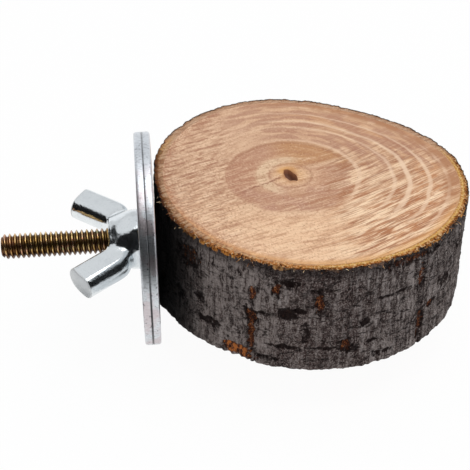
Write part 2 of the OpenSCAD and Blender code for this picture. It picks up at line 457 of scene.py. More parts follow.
def torn_fibres(rule, count, first, sweep, length, thickness, spread):
    """Torn fibres along the upper rim of the bark, scattered with a fixed seed."""
    line = rule.node("GeometryNodeMeshLine", {"Count": count})
    index = rule.amount("GeometryNodeInputIndex")

    def chance(low, high, seed):
        return rule.amount("FunctionNodeRandomValue", {2: low, 3: high, 8: seed}, 1,
                           data_type="FLOAT")

    bearing = first + sweep * (index + chance(0.0, 1.0, 11)) / count
    share = 1
    for waves, lobe, start in LOBES:
        share = share + ((bearing - radians(start)) * waves).cosine() * lobe
    out = share * (SLICE_D / 2) - chance(0.2, 1.0, 12) * spread
    placed = rule.moved(line, (SLICE_X + out * bearing.cosine()) * MM,
                        (SLICE_SIDE + out * bearing.sine()) * MM,
                        (HALF_T - chance(0.3, 0.9, 13)) * MM)

    # One fibre of unit length that bows over and thins out towards its end
    bow = rule.node("GeometryNodeCurveQuadraticBezier", {
        "Resolution": 5, "Start": (0, 0, -0.2), "Middle": (0.05, 0, 0.6), "End": (0.5, 0, 1.0)})
    way = rule.amount("GeometryNodeSplineParameter", None, "Factor")
    thinned = rule.node("GeometryNodeSetCurveRadius", {"Curve": bow, "Radius": 1 - way * 0.75})
    section = rule.node("GeometryNodeCurvePrimitiveCircle", {
        "Resolution": 5, "Radius": thickness / length / 2})
    fibre = rule.node("GeometryNodeCurveToMesh", {
        "Curve": thinned, "Profile Curve": section, "Fill Caps": True})
    lean = rule.point(0.0, chance(0.1, 1.9, 14), bearing + chance(-1.1, 1.1, 15))
    return rule.node("GeometryNodeInstanceOnPoints", {
        "Points": placed, "Instance": fibre, "Rotation": lean,
        "Scale": length * chance(0.35, 1.0, 16) * MM})


# Outline of the log

def rim_r(bearing):
    """Radius over the bark at a bearing in degrees."""
    return SLICE_D / 2 * (1 + sum(share * cos(radians(waves * (bearing - start)))
                                  for waves, share, start in LOBES))


SLICE_X = WASHER_T + SEAT_GAP - min(
    rim_r(a) * cos(radians(a)) for a in (360 * i / OUTLINE_TURNS for i in range(OUTLINE_TURNS)))
PITH_X = SLICE_X + SLICE_D / 2 * PITH_AT[0]
PITH_Y = SLICE_SIDE + SLICE_D / 2 * PITH_AT[1]


def rim_point(bearing, inward, height):
    r = rim_r(bearing) - inward
    a = radians(bearing)
    return SLICE_X + r * cos(a), SLICE_SIDE + r * sin(a), height


def rough(x, y, z, grain, tall=1.0, octaves=3):
    """Noise from -1 to 1 whose grain is in millimetres, drawn out along Z."""
    return noise.fractal(Vector((x / grain, y / grain, z / grain / tall)), 1.0, 2.0, octaves)


# Bark

# Scars of the bark: bearing, height, half width, half height, depth, bare bark, dark stain
SCARS = [
    (-117.6, -1.0, 1.7, 2.6, 0.7, 0.5, 1.0), (-117.5, -7.0, 1.0, 6.6, 0.7, 1.0, 0.6),
    (-117.0, 5.6, 1.1, 2.4, 0.5, 1.0, 0.5), (-115.5, 0.8, 2.6, 0.45, 0.4, 0.0, 0.9),
    (-108.4, 8.4, 1.1, 2.6, 0.5, 0.8, 0.7), (-103.5, 10.4, 2.6, 0.8, 0.5, 0.0, 1.0),
    (-93.6, 5.2, 1.3, 3.6, 0.6, 1.0, 0.6), (-93.4, 9.0, 2.2, 0.6, 0.3, 0.0, 0.8),
    (-104.6, 1.6, 2.1, 1.6, 0.5, 0.15, 1.0), (-100.2, 2.8, 1.4, 0.8, 0.4, 0.0, 1.0),
    (-83.4, -7.4, 1.6, 2.0, 0.6, 0.6, 0.9), (-77.0, -1.5, 1.1, 1.1, 0.6, 0.0, 1.0),
    (-74.1, -7.4, 1.2, 0.7, 0.4, 0.0, 1.0), (-55.0, 6.6, 1.3, 4.2, 0.5, 0.6, 0.7),
    (-53.4, -8.6, 1.0, 5.4, 0.5, 0.5, 0.8), (-66.0, 4.8, 5.2, 0.5, 0.4, 0.0, 0.9),
    (-61.0, 13.0, 8.0, 1.3, 0.5, 0.5, 0.7), (-105.0, -8.4, 4.4, 0.6, 0.3, 0.0, 0.8),
    (-88.4, -8.2, 3.6, 0.5, 0.3, 0.0, 0.8), (-135.0, -7.4, 3.4, 1.1, 0.4, 0.1, 0.9),
    (-138.3, -2.4, 1.0, 0.7, 0.3, 0.0, 0.9), (-145.5, 8.4, 4.2, 3.2, 0.5, 0.35, 0.8),
    (-123.5, -13.2, 5.4, 2.2, 0.5, 1.2, 0.1), (-98.0, -3.5, 1.0, 3.0, 0.3, 0.0, 0.7),
    (-112.0, -12.5, 3.0, 0.6, 0.3, 0.0, 0.7), (-70.0, -12.0, 3.2, 0.7, 0.3, 0.1, 0.8),
]
# The sides that the photograph doesn't show carry more of the same
for spot in range(HIDDEN_SCARS):
    turn = -48 + spot * 8.1 + 3 * noise.noise(Vector((spot, 0.5, 0)))
    SCARS.append((turn, 12 * noise.noise(Vector((spot, 3.5, 1))) * 1.6,
                  1.6 + 1.2 * noise.noise(Vector((spot, 7.5, 2))),
                  1.5 + 1.3 * noise.noise(Vector((spot, 9.5, 3))), 0.45,
                  0.9 if spot % 5 == 0 else 0.1, 0.9))


def held(share):
    """A share kept from 0 to 1."""
    return min(1.0, max(0.0, share))


def scar_marks(bearing, height, x, y):
    """Depth, bareness and stain that the scars add at a point of the skin."""
    depth = bare = stain = 0.0
    ragged = 0.55 * rough(x, y, height, 1.0, 1.5, 4)
    for at, level, half_w, half_h, dig, bareness, darkness in SCARS:
        aside = (bearing - at + 180) % 360 - 180
        if abs(aside) > 14:
            continue
        aside *= radians(1) * SLICE_D / 2
        far = hypot(aside / half_w, (height - level) / half_h) + ragged
        depth = max(depth, dig * held((1.1 - far) / 0.35))
        bare = max(bare, bareness * held((0.85 - far) / 0.25))
        stain = max(stain, darkness * held((1.35 - far) / 0.4))
    return depth, bare, stain


def torn(bearing):
    """How far the saw tore the upper rim, most on the side towards the bolt."""
    return 0.25 + 0.75 * held(1 - abs((bearing + 140 + 180) % 360 - 180) / 42)


def pressed(bearing, height, depth):
    """Depth of the skin where the washer presses it flat around the bolt."""
    a = radians(bearing)
    if cos(a) > -0.8:
        return depth
    reach = (WASHER_T + 0.12 - SLICE_X) / cos(a)
    away = hypot(SLICE_SIDE + reach * sin(a), height)
    share = held((10.5 - away) / 3.5)
    depth += (rim_r(bearing) - reach - depth) * share ** 2 * (3 - 2 * share)
    return max(depth, rim_r(bearing) - reach)


def swelling(bearing, level):
    """The log swells a little to both sides of the washer, most by its lower front edge."""
    aside = (abs((bearing + 180) % 360 - 180) - 152) / 15
    swollen = exp(-aside * aside) * (0.6 if bearing < 180 else 1.25 - 0.65 * level)
    beside = (bearing - 192) / 8
    return swollen + 1.8 * exp(-beside * beside) * max(0.0, 1 - 1.3 * level)


def bark_skin(bearing, level):
    """Depth below the outline, bareness and stain at a share of the thickness."""
    height = (level - 0.5) * SLICE_T
    x, y, z = rim_point(bearing, 0, height)
    lumps = rough(x, y, z, 7.0, 1.4, 2)
    plates = rough(x + 40, y, z, 2.6, 2.2, 3)
    fibres = rough(x, y + 70, z, 1.1, 3.5, 3)
    creases = max(0.0, 0.35 - abs(rough(x, y, z + 50, 5.0, 0.35, 3))) / 0.35
    depth = 0.18 + 0.26 * lumps + 0.24 * plates + 0.16 * fibres + 0.24 * creases ** 3
    dig, bare, stain = scar_marks(bearing, height, x, y)
    near = min(level, 1 - level) * SLICE_T
    chipped = max(0.0, 1 - near / 0.7) * (0.05 + 0.4 * abs(rough(x, y, z, 1.6, 1.0, 2)))
    depth = max(0.0, depth + dig) + chipped
    depth = min(depth, BARK_T - 0.5) - swelling(bearing, level)
    return pressed(bearing, height, depth), bare, stain


def bark_row(bearing):
    """The bark from its lower inner edge, over the skin, to its upper one, with its marks."""
    levels = [i / SKIN_LEVELS for i in range(SKIN_LEVELS + 1)]
    skin = [bark_skin(bearing, level) for level in levels]
    for step in range(RIM_STEPS):
        share = step / RIM_STEPS
        x, y, z = rim_point(bearing, BARK_T + (skin[0][0] - BARK_T) * share, -HALF_T)
        lift = 0.35 * share * abs(rough(x, y, 9, 0.8, 1.0, 2))
        yield (x, y, z + lift), share, 1 - share ** 3, 0.0, 0.0
    for level, (depth, bare, stain) in zip(levels, skin):
        yield rim_point(bearing, depth, (level - 0.5) * SLICE_T), 1.0, bare, stain, 1.0
    for step in range(RIM_STEPS):
        share = 1 - (step + 1) / RIM_STEPS
        x, y, z = rim_point(bearing, BARK_T + (skin[-1][0] - BARK_T) * share, HALF_T)
        ragged = abs(rough(x, y, 3, 0.9, 1.0, 3)) + 0.4 * abs(rough(x, y, 8, 0.4, 1.0, 2))
        drop = torn(bearing) * share * (0.25 + 1.3 * ragged) * (0.4 + 0.6 * share)
        yield (x, y, z - drop), share, 1 - share ** 3, 0.0, 0.0


# Wood

def wood_reach(bearing):
    """Distance from the pith to the bark's inner side at a bearing from the pith."""
    a = radians(bearing)
    step, reach = 16.0, 0.0
    while step > 0.001:
        x = PITH_X + (reach + step) * cos(a) - SLICE_X
        y = PITH_Y + (reach + step) * sin(a) - SLICE_SIDE
        if hypot(x, y) < rim_r(degrees(atan2(y, x))) - BARK_T:
            reach += step
        else:
            step /= 2
    return reach


def growth(out, reach):
    """Age of the wood as a radius: rings are round near the pith and follow the bark."""
    if out < HEART_R:
        return out
    return HEART_R + (out - HEART_R) * (RING_REACH - HEART_R) / (reach - HEART_R)


def wood_row(bearing):
    """The wood from the pith's floor, over the top and down the side, with age and wall."""
    a = radians(bearing)
    reach = wood_reach(bearing)
    skew = a - radians(PITH_TURN)
    mouth = 0.5 / hypot(cos(skew) / PITH_L, sin(skew) / PITH_W)
    mouth *= 0.98 + 0.05 * cos(3 * a + 1) + 0.16 * rough(cos(a), sin(a), 0, 0.5)
    lip = mouth * 1.12
    top = [(0, PITH_DEPTH), (mouth * 0.5, PITH_DEPTH), (mouth * 0.8, PITH_DEPTH * 0.8),
           (mouth * 0.97, PITH_DEPTH * 0.45), (mouth * 1.06, 0.25), (lip, 0)]
    top += [(lip + (reach - lip) * (i + 1) / WOOD_RINGS, 0) for i in range(WOOD_RINGS)]
    side = [(reach, 0), (reach, -HALF_T), (reach * 0.66, -HALF_T), (reach * 0.33, -HALF_T),
            (0, -HALF_T)]
    row = [(out, HALF_T - drop, 0.0) for out, drop in top]
    row += [(out, height, 1.0) for out, height in side]
    for out, height, wall in row:
        yield (PITH_X + out * cos(a), PITH_Y + out * sin(a), height), growth(out, reach), wall


# Finishes

def eased(way, bend):
    """A slope that grows from nothing to one over the bend."""
    short = way.most(0).least(bend)
    return short * short / (2 * bend) + (way - bend).most(0)


def saw_way(dx, dy):
    """Distance along the saw's strokes; across them for the same place turned by a quarter."""
    return dx * cos(radians(SAW_BEARING)) + dy * sin(radians(SAW_BEARING))


def sawn_wood():
    f = Finish("sawn_wood", (210, 170, 140), 0.68)
    age = f.read("age")
    dx, dy = f.x - PITH_X, f.y - PITH_Y
    along = saw_way(dx, dy)
    # The strokes steepen towards the right, where the saw came in
    climb = dx * STROKE_RISE + eased(dx, STROKE_BEND) * STROKE_GAIN
    climb = climb - eased(4 - dx, STROKE_BEND) * STROKE_LEFT_GAIN
    aside = (dy - climb) * cos(radians(SAW_BEARING))
    east = dx.rise(-14, 12)
    near = dy.rise(6, -26)
    left = dx.rise(-9, -19)
    right = dx.rise(2, 17)
    back = dy.rise(2, 16)

    wander = f.cloud(dx / 9, dy / 9, f.z / 9, 2.0) - 0.5
    tremble = f.cloud(dx / 1.4, dy / 1.4, 0, 2.0) - 0.5
    ring = age + wander * 1.7 + tremble * 0.35
    life = ring / 40
    east_tone = f.ramp(life, [
        (0.0, 158, 98, 58), (0.02, 176, 116, 70), (0.045, 220, 174, 126),
        (0.12, 216, 176, 142), (0.134, 180, 134, 104), (0.15, 214, 174, 144),
        (0.22, 200, 158, 130), (0.28, 190, 146, 120), (0.385, 187, 143, 116),
        (0.41, 205, 165, 136), (0.43, 222, 186, 156), (0.47, 208, 168, 137),
        (0.56, 212, 172, 140), (0.585, 232, 200, 170), (0.61, 208, 167, 134),
        (0.645, 216, 178, 146), (0.66, 236, 206, 176), (0.69, 205, 161, 127),
        (0.745, 204, 158, 122), (0.76, 229, 196, 165), (0.79, 208, 165, 131),
        (0.845, 230, 197, 165), (0.87, 204, 158, 122), (1.0, 204, 156, 116)])
    west_tone = f.ramp(life, [
        (0.0, 158, 98, 58), (0.02, 176, 116, 70), (0.045, 222, 178, 132),
        (0.12, 216, 178, 146), (0.134, 176, 130, 102), (0.15, 218, 184, 154),
        (0.21, 212, 174, 144), (0.25, 192, 148, 122), (0.385, 190, 146, 121),
        (0.405, 212, 175, 147), (0.6, 224, 190, 161), (1.0, 220, 183, 153)])
    tone = Paint(f, f.mix(east, west_tone, east_tone))

    # Paler towards the front and pinker towards the back
    tone.coat(near * age.rise(15, 19) * 0.75, (244, 208, 174))
    blush = f.cloud(dx / 16 + 3, dy / 16, 0, 1.0).rise(0.45, 0.7)
    tone.coat(blush * (1 - near) * 0.14, (198, 154, 136))

    # The heart: brown and golden at the back, reddish on the left, mauve towards the front
    heart = age.rise(16.6, 15.8)
    west = (-dx - abs(dy - 2) * 0.6).rise(3, 9)
    tone.coat(heart * west * 0.55, (184, 134, 108))
    golden = heart * dy.rise(2.8, 6.0) * dx.rise(-6, 2)
    tone.coat(golden * 0.8, (190, 140, 92))
    mauve = f.cloud(dx / 5 + 11, dy / 5, 0, 2.0).rise(0.46, 0.6)
    tone.coat(heart * dy.rise(-3, -7) * mauve * 0.5, (184, 138, 120))
    cream = abs(age - 7.2).rise(2.0, 0.9) * (dy * 0.5 - dx * 1.1 + mauve * 1.5).rise(-2, 5)
    tone.coat(cream * 0.8, (228, 202, 172))
    tail = abs(aside - 1.4).rise(1.5, 0.2) * along.rise(4, 6) * along.rise(17, 12)
    tone.coat(tail * 0.6, (226, 192, 162))
    tone.coat(abs(ring - 15.6).rise(0.7, 0.1) * dy.rise(3, 8) * 0.5, (158, 108, 76))
    paler = age.rise(16.2, 17.0) * age.rise(22, 17.5) * dx.rise(-5, -13)
    tone.coat(paler * 0.6, (224, 190, 160))

    # Between the years on the right: a cream wedge, and orange bands outside it
    wedge = age.rise(17.5, 20) * age.rise(26.6, 25.8) * dy.rise(0, -5)
    tone.coat(wedge * (dx + dy * 0.5).rise(6, 14) * 0.55, (230, 200, 170))
    patchy = f.cloud(dx / 4 + 2, dy / 4, 0, 2.0).rise(0.4, 0.56)
    orange = age.rise(27.6, 28.4) * age.rise(35, 33.5) * dy.rise(5, 0) * dx.rise(14, 24)
    tone.coat(orange * patchy * 0.8, (198, 138, 90))

    # Strokes of the saw: a washboard on the left, soft and broad on the right, and bands that
    # keep to the rings at the back
    waver = wander * 2.4 + tremble * 0.5
    waves = ((aside + waver) * (2 * pi / WAVE_L)).sine()
    dashes = waves.rise(-0.6, 0.6) * f.cloud(along / 4.2, aside / 1.9, 0, 2.0).rise(0.42, 0.54)
    tone.coat(dashes * left * (1 - near * 0.5) * 0.85, (168, 119, 93))
    patches = f.cloud(along / 4 + 17, aside / 1.7, 0, 2.0)
    left_sap = left * age.rise(15.8, 17.2)
    tone.grain(patches, (0.5, 0.58, left_sap * 0.4, (172, 124, 98)),
               (0.49, 0.41, left_sap * 0.5, (238, 206, 178)))
    reach = f.cloud(along / 9, aside / 1.3 + 40, 0, 2.0)
    middle = dx.rise(8, 14) * dx.rise(38, 28) * dy.rise(-9, -2) * dy.rise(17, 9)
    furrows = waves.rise(0.0, 0.95) * reach.rise(0.44, 0.55) * middle
    tone.coat(furrows * 0.75, (148, 100, 76))
    ridges = (-waves).rise(0.1, 1.0) * reach.rise(0.42, 0.54) * middle
    tone.coat(ridges * 0.32, (240, 212, 184))
    fine = f.cloud(along / 6.0, aside / 0.8, 0, 3.0, 0.6)
    soft = f.cloud(along / 10 + 9, aside / 1.9, 0, 2.0)
    broad = f.cloud(along / 16 + 5, aside / 3.4, 0, 1.0)
    banded = f.cloud(ring / 1.3, dx / 15, dy / 15, 3.0, 0.6)
    swept = fine * 0.45 + soft * 0.25 + broad * 0.3
    forceful = soft * 0.55 + broad * 0.25 + fine * 0.2
    swept = swept + (forceful - swept) * right
    swept = swept + (banded - swept) * back * 0.8
    bite = (0.5 + right * 0.5) * (1 - back * 0.7) * (1 - left * 0.3)
    bite = bite * (f.cloud(dx / 11, dy / 11 + 9, 0, 1.0).rise(0.34, 0.58) * 0.4 + 0.6)
    tone.grain(swept, (0.5, 0.57, bite * 0.95, (166, 112, 76)),
               (0.48, 0.42, bite * (0.8 + near * right * 0.2), (246, 216, 184)))
    sweeps = f.cloud(along / 14 + 21, aside / 1.5, 0, 2.0)
    front_right = right * (near * 1.4).least(1) * 0.75
    tone.grain(sweeps, (0.5, 0.55, front_right, (180, 118, 74)),
               (0.47, 0.42, front_right, (252, 226, 196)))
    plum = (dx + dy).rise(6, 20) * dy.rise(-2, 5) * age.rise(16.5, 18)
    plum = plum * f.cloud(ring / 2.2 + 4, dx / 9, dy / 9, 1.0).rise(0.42, 0.56)
    tone.coat(plum * 0.6, (166, 116, 96))
    scratches = f.cloud(along / 5 + 7, aside / 0.35, 0, 2.0)
    keen = (0.2 + right * (0.2 + near * 0.4) + left * 0.3) * (1 - back * 0.6)
    tone.grain(scratches, (0.52, 0.62, keen, (156, 106, 76)),
               (0.47, 0.37, keen * 0.9, (250, 226, 198)))

    # Short fibres stand up all over, most where the strokes are faint
    fibres = f.cloud((dx + dy * 0.25) / 0.5, (dy - dx * 0.3) / 0.9, 0, 3.0, 0.7)
    faint = 1 - right * 0.55 - back * 0.2
    tone.grain(fibres, (0.53, 0.66, faint * (0.55 + left * 0.25), (166, 116, 86)),
               (0.46, 0.34, faint * 0.4, (244, 216, 188)))
    mottle = f.cloud(dx / 1.3 + 5, dy / 1.7, 0, 2.0)
    tone.coat(mottle.rise(0.54, 0.66) * faint * 0.3, (176, 124, 96))

    # Pale rings over the strokes, crisp on the right and fading towards the front
    shown = dx.rise(-10, 12) * (dy + dx * 0.75).rise(-12, 6) * (1 + wander * 0.9)
    for at, half, strength in PALE_RINGS:
        line = (abs(ring - at) * (1 + back * 0.6)).rise(half, half * 0.3)
        tone.coat(line * shown * (1 - back * 0.4) * strength, (238, 210, 184))

    # Inner bark stains the wood beside it
    front = dy.rise(-4, -24)
    tone.coat(age.rise(34.0, 35.8) * front * 0.6, (226, 174, 112))
    ragged = (age + tremble * 7 + wander * 3).rise(34.4, 36.0)
    tone.coat(ragged * dx.rise(10, -14) * dy.rise(8, -6) * 0.45, (190, 128, 82))
    streaks = fibres.rise(0.47, 0.58) * 0.5 + 0.1
    tone.coat(age.rise(31.5, 35.8) * dx.rise(-12, -20) * streaks, (168, 110, 78))
    brown = age.rise(31.5, 35.0) * east * (1 - front)
    tone.coat(brown * (0.35 + patchy * 0.55), (176, 126, 90))

    # Thin dark lines between the years, and pores
    years = abs((ring / 1.9).part() - 0.5)
    thin = years.rise(0.07, 0.0) * age.rise(3, 5) * (1 - east * 0.6)
    tone.coat(thin * 0.3, (170, 118, 86))
    dots = f.cells("F1", dx / 1.5, dy / 1.5, 0).rise(0.14, 0.06)
    scarce = f.cloud(dx / 5, dy / 5 + 31, 0, 1.0).rise(0.46, 0.6)
    tone.coat(dots * scarce * 0.6, (128, 76, 44))

    # The pith: a dark hollow, painted darker towards its floor as shade, a golden patch behind it and
    # a split that runs to the front left
    hollow = f.z.rise(HALF_T - 0.02, HALF_T - 0.3) * (1 - f.read("wall")) * age.rise(4, 3)
    # The hollow keeps the pith's own brown, and painted shade makes it darker towards its floor
    deep = f.z.rise(HALF_T - 0.5, HALF_T - 1.4)
    glow = ((dx + 0.6) * (dx + 0.6) * 0.6 + (dy - 2.4) * (dy - 2.4)).root()
    tone.coat(glow.rise(2.6, 0.8) * 0.7, (222, 168, 100))
    lip = (dx * dx + dy * dy * 0.35).root()
    tone.coat(lip.rise(2.4, 1.1) * 0.6, (150, 92, 54))
    tone.coat(hollow, f.mix(deep, (150, 98, 68), (112, 70, 50)))
    run = dx + 1.2
    split = dy - run * 0.48 + run * run * 0.008 + tremble * 2.6 + wander * 3
    cleft = dx.rise(-14.5, -11) * dx.rise(-1.2, -3.0)
    open_here = cleft * f.cloud(dx / 1.6 + 8, dy / 1.6, 0, 2.0).rise(0.42, 0.56)
    tone.coat(abs(split).rise(0.95, 0.1) * open_here * 0.7, (154, 98, 70))
    tone.coat(abs(split - 1.0).rise(0.7, 0.1) * cleft * 0.45, (236, 204, 176))
    warmed = f.mix(1.0, tone, (255, 248, 238), "MULTIPLY")
    grain = swept * 0.7 + fibres * 0.3 - dashes * left * 0.4
    dust = f.cloud(dx / 0.22, dy / 0.22, f.z / 0.22, 2.0)
    relief = grain + dust * 0.35 - dots * scarce * 0.8 - abs(split).rise(0.4, 0.0) * cleft
    return f.vary(warmed, 0.62 + dust * 0.14, relief, 0.1)


def rough_bark():
    f = Finish("bark", (80, 72, 70), 0.86, specular=0.15)
    across, bare, stain, skin = (f.read(n) for n in ("across", "bare", "stain", "skin"))
    dx, dy = f.x - SLICE_X, f.y - SLICE_SIDE
    down = HALF_T - f.z
    fibres = f.specks(0.55, 0.55, 3.2, 4.0, 0.62)
    flakes = f.specks(1.9, 1.9, 3.4, 4.0, 0.6, 0.4)
    clouds = f.specks(8, 8, 11, 2.0)
    cracks = f.specks(2.8, 2.8, 0.8, 3.0, 0.6, 0.6)
    grit = f.specks(0.35, 0.35, 0.4, 2.0)
    ribs = f.specks(0.85, 0.85, 9, 2.0)

    body = fibres * 0.45 + flakes * 0.32 + ribs * 0.23
    tone = Paint(f, f.ramp(body, [
        (0.38, 36, 26, 24), (0.44, 76, 65, 62), (0.5, 110, 100, 96),
        (0.55, 134, 124, 120), (0.61, 160, 151, 147)]))
    # Darker and warmer at the front, with upright ribs on the right and on the unseen sides
    middle = abs(dx + 2).rise(20, 5) * dy.rise(-10, -24)
    tone.coat(clouds.rise(0.4, 0.6) * 0.35 + middle * 0.35, (62, 43, 40))
    ribbed = 1 - dy.rise(-4, -26) * dx.rise(10, -6) * 0.75
    tone.grain(ribs, (0.51, 0.6, ribbed * 0.4, (150, 141, 138)),
               (0.48, 0.4, ribbed * 0.5, (42, 32, 31)))
    tone.grain(grit, (0.52, 0.62, 0.45, (158, 148, 142)), (0.48, 0.38, 0.5, (28, 19, 18)))
    tone.coat(cracks.rise(0.57, 0.63) * 0.75, (22, 11, 9))
    tone.coat(flakes.rise(0.43, 0.35) * 0.45, (26, 15, 13))
    paler = abs(dx + 22).rise(12, 4) * dy.rise(-10, -20)
    tone.coat(paler * (flakes * 0.4 + fibres * 0.6).rise(0.42, 0.56) * 0.5, (134, 123, 118))
    bent = flakes * 1.6
    edges = f.cells("DISTANCE_TO_EDGE", f.x / 3.4 + bent, f.y / 3.4 + bent, f.z / 3.0 + bent)
    splits = edges.rise(0.055, 0.01) * clouds.rise(0.46, 0.56)
    tone.coat(splits * 0.6, (20, 10, 9))
    frayed = f.specks(1.0, 1.0, 1.4, 4.0, 0.7)
    tatter = frayed - 0.5
    stained = (stain + tatter * 3.0).rise(0.25, 0.8) * stain.rise(0.02, 0.3)
    tone.coat(stained * (0.78 + grit * 0.3), (22, 8, 6))
    raw = f.ramp(fibres * 0.45 + grit * 0.55, [
        (0.38, 26, 8, 4), (0.47, 66, 30, 15), (0.54, 106, 57, 28), (0.66, 176, 112, 62)])
    open_wood = (bare + tatter * 2.4).rise(0.1, 0.75) * bare.rise(0.02, 0.3)
    tone.coat(open_wood * 0.92, raw)
    splinters = (frayed * 0.4 + fibres * 0.6).rise(0.46, 0.55)
    tone.coat((bare - 1).rise(0, 0.15) * splinters * 0.85, (182, 106, 50))

    # Torn inner bark hangs over the upper edge, and little light reaches the side by the washer
    beside = (-14 - dx).most(0) * 0.6
    rawness = dx.rise(6, -14) * (8 - dy + beside).rise(0, 20)
    clumps = f.cloud(f.x / 4 + 3, f.y / 4, 0, 2.0)
    hem = down - (frayed - 0.44) * 3.4 - (clumps - 0.53) * 4.2
    front_only = (1 - f.y.rise(-6, 8)) * (1 - abs(dx - 1).rise(20, 6) * 0.75)
    torn_edge = hem.rise(0.25, -0.1) * front_only
    tone.coat(torn_edge, f.ramp(fibres * 0.45 + frayed * 0.55, [
        (0.36, 48, 20, 8), (0.45, 120, 66, 24), (0.54, 190, 124, 54), (0.66, 240, 188, 112)]))
    tone.coat(down.rise(3.6, 0.7) * (1 - torn_edge) * 0.7, (24, 13, 12))
    # Painted shadow: the bark beside the washer is painted near black, as the shade the washers cast
    # on it
    shaded = dx.rise(-25, -35) * (1 - f.y.rise(8, 22))
    tone.coat(shaded * 0.95, (5, 4, 4))

    # The sawn rim: pale by the wood, orange inner bark, dark at the skin, crumbly at the left
    speckle = f.specks(0.6, 0.6, 0.6, 4.0, 0.65)
    crumbs = f.cloud(f.x / 1.1 + 7, f.y / 1.1, f.z / 1.1, 4.0, 0.7)
    thinner = dx.rise(6, -22) * (1 - dy.rise(14, 24)) * 0.38
    step = across - thinner + (speckle - 0.5) * 0.6 + (crumbs - 0.5) * 0.7 * rawness
    rim = Paint(f, f.ramp(step, [
        (0.0, 228, 184, 140), (0.08, 198, 136, 80), (0.2, 218, 154, 80),
        (0.38, 244, 198, 118), (0.52, 210, 140, 64), (0.78, 164, 96, 42),
        (0.93, 88, 46, 20), (1.0, 44, 22, 12)]))
    rim.coat(rawness * 0.85, f.ramp(step, [
        (0.0, 208, 152, 110), (0.08, 208, 142, 88), (0.16, 214, 134, 72),
        (0.32, 208, 116, 46), (0.5, 166, 82, 30), (0.68, 98, 42, 15), (0.85, 34, 13, 7)]))
    scored = f.cloud(saw_way(dx, dy) / 4, saw_way(dy, -dx) / 0.8, 0, 3.0, 0.6)
    inner = step.rise(0.14, 0.02) * dx.rise(6, -14)
    rim.grain(scored, (0.51, 0.58, inner * 0.6, (160, 100, 64)),
              (0.48, 0.42, inner * 0.45, (238, 198, 156)))
    rim.coat(speckle.rise(0.48, 0.4) * across.rise(0.2, 0.6) * 0.9, (70, 32, 12))
    rim.coat(crumbs.rise(0.51, 0.43) * rawness * across.rise(0.25, 0.75) * 0.85, (46, 18, 8))
    rim.coat(crumbs.rise(0.53, 0.6) * rawness * 0.6, (226, 154, 86))
    # Painted highlights: pale specks over the rim stand for glints on its crumbs
    rim.coat(speckle.rise(0.53, 0.6) * (0.75 - rawness * 0.1), (250, 212, 156))
    far_left = dx.rise(-22, -34) * dy.rise(20, 12)
    crumbled = (across + (speckle - 0.5) * 1.2 + (crumbs - 0.5) * 1.2).rise(0.5, 0.68)
    scratched = f.mix(scored.rise(0.46, 0.56), (214, 176, 146), (160, 112, 84))
    rim.coat(far_left * (1 - crumbled) * 0.6, scratched)
    rim.coat(far_left * crumbled * 0.8, (84, 44, 26))
    # At the back the inner bark is as pale as the wood and is scored like it
    rear = Paint(f, f.ramp(step, [
        (0.0, 212, 170, 138), (0.62, 204, 160, 126), (0.78, 178, 136, 106),
        (0.92, 132, 102, 82), (1.0, 92, 74, 62)]))
    rear.grain(scored, (0.51, 0.6, 0.6, (170, 122, 92)), (0.47, 0.39, 0.4, (232, 200, 170)))
    rim.coat((dy - beside).rise(0, 14), rear)
    height = fibres * 0.3 + flakes * 0.4 + ribs * (0.25 + ribbed * 0.35) + grit * 0.15
    height = (height - cracks.rise(0.56, 0.7) * 0.3 - splits * 0.3) * skin
    height = height + (speckle + crumbs * rawness) * (1 - skin)
    return f.vary(f.mix(skin, rim, tone), 0.78 + fibres * 0.2, height, 0.9)


def torn_fibre():
    f = Finish("torn_fibre", (222, 184, 132), 0.8)
    shade = f.specks(1.2, 1.2, 2, 2.0)
    tone = f.ramp(shade, [
        (0.38, 132, 74, 34), (0.47, 196, 136, 78), (0.55, 232, 198, 150),
        (0.66, 246, 226, 192)])
    return f.vary(tone, 0.7 + shade * 0.2)


def yellow_zinc():
    f = Finish("yellow_zinc", (170, 134, 84), 0.26, 1.0)
    out = (f.y * f.y + f.z * f.z).root()
    drift = f.specks(2.2, 2, 2, 2.0)
    tone = Paint(f, f.ramp(drift, [
        (0.3, 162, 126, 76), (0.42, 222, 182, 112), (0.52, 240, 212, 152),
        (0.6, 226, 168, 140), (0.7, 190, 184, 136)]))
    # Painted shade: the roots of the thread are painted dark brown, where the crests keep the light
    # out
    root = (THREAD_D / 2 - out).rise(0.04, 0.45)
    tone.coat(root * 0.85, (58, 34, 12))
    tone.coat(f.x.rise(-29, -35) * 0.3, (190, 130, 96))
    # Painted shade: the lower side of the stud is painted dark brown, standing in for the dark
    # reflection beneath it
    tone.coat(f.z.rise(0.8, -1.2) * 0.92, (92, 58, 36))
    fine = f.specks(0.4, 0.3, 0.3, 3.0)
    return f.vary(tone, 0.16 + fine * 0.14 + root * 0.2, fine, 0.015)


